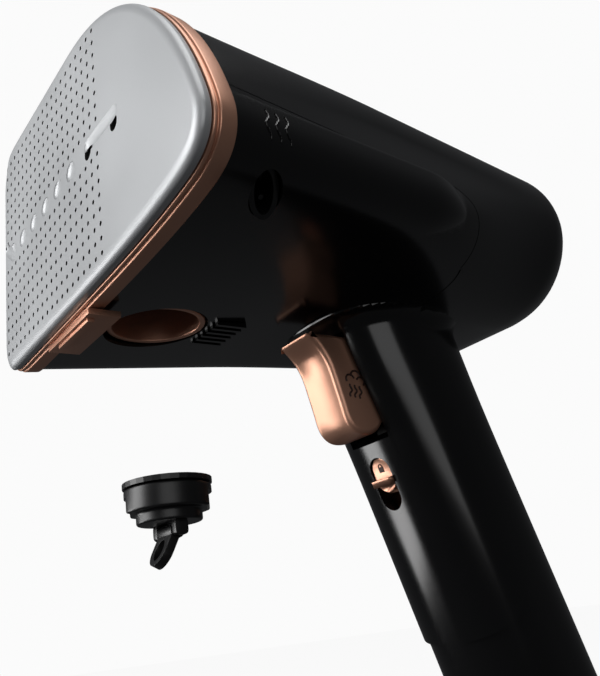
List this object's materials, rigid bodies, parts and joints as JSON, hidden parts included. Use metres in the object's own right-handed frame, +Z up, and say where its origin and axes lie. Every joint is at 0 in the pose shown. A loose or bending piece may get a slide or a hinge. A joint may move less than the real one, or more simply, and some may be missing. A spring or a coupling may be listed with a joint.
{
  "type": "garment steamer",
  "caption": "Handheld garment steamer with an iron-shaped steam plate, tapering barrel, leaning handle, trigger, slide lock and a descaling cap drawn out of its port.",
  "frame": {"origin": "centre of the flat foot of the handle", "axes": "+Z up, -Y the way the steam plate faces, +X towards the plate's pointed nose; the handle's axis leans back 18 degrees in the YZ plane"},
  "size_m": [0.1226, 0.17, 0.2272],
  "materials": {
    "housing": "glossy injection-moulded black ABS",
    "satin_black": "satin black moulded plastic",
    "rose_gold": "satin rose-gold metallised coating",
    "plate": "pale satin coated aluminium",
    "cast": "as-cast aluminium",
    "steel": "plain steel",
    "silicone": "red-brown silicone",
    "black_silicone": "black silicone",
    "tank": "smoked clear plastic",
    "board": "green circuit board"
  },
  "bodies": {
    "root": {"steam_plate": "plate", "trim_ring": "rose_gold", "plate_gasket": "silicone", "steam_chamber": "cast", "heating_element": "steel", "thermostat": "satin_black", "thermal_fuse": "steel", "heat_shield": "satin_black", "front_housing": "housing", "rear_housing": "housing", "catch_cup": "satin_black", "descale_collar": "rose_gold", "drain_elbow": "satin_black", "trigger_bracket": "satin_black", "trigger_pin": "steel", "trigger_spring": "steel", "microswitch": "satin_black", "slider_tray": "satin_black", "water_tank": "tank", "neck_seal": "silicone", "filler_pin": "steel", "water_pump": "satin_black", "suction_tube": "silicone", "delivery_tube": "silicone", "control_board": "board", "handle_foot": "satin_black", "cord_gland": "satin_black", "foot_screw_left": "steel", "foot_screw_right": "steel"},
    "trigger": {"trigger": "rose_gold"},
    "lock_slider": {"lock_slider": "rose_gold"},
    "descale_cap": {"descale_cap": "satin_black", "cap_seal": "black_silicone", "cap_ring_pin": "steel"},
    "cap_ring": {"cap_ring": "satin_black"},
    "filler_flap": {"filler_flap": "satin_black"}
  },
  "joints": [
    {"name": "trigger_press", "type": "hinge", "parent": "root", "child": "trigger", "pos_m": [0, -0.05757, 0.14702], "axis": [1, 0, 0], "range_deg": [0, 7], "stiffness_Nm_per_rad": 0.6, "springref_deg": -6.88, "deforming": ["trigger_spring"]},
    {"name": "lock_slide", "type": "slide", "parent": "root", "child": "lock_slider", "axis": [0, 0.309, -0.9511], "range_m": [0, 0.005]},
    {"name": "cap_lift", "type": "slide", "parent": "root", "child": "descale_cap", "axis": [0, 0, 1], "range_m": [0, 0.0505]},
    {"name": "cap_ring_fold", "type": "hinge", "parent": "descale_cap", "child": "cap_ring", "pos_m": [-0.0065, -0.12307, 0.09907], "axis": [1, 0, 0], "range_deg": [-55, 100]},
    {"name": "filler_flap_open", "type": "hinge", "parent": "root", "child": "filler_flap", "pos_m": [0, -0.02017, 0.21341], "axis": [-1, 0, 0], "range_deg": [0, 110]}
  ]
}
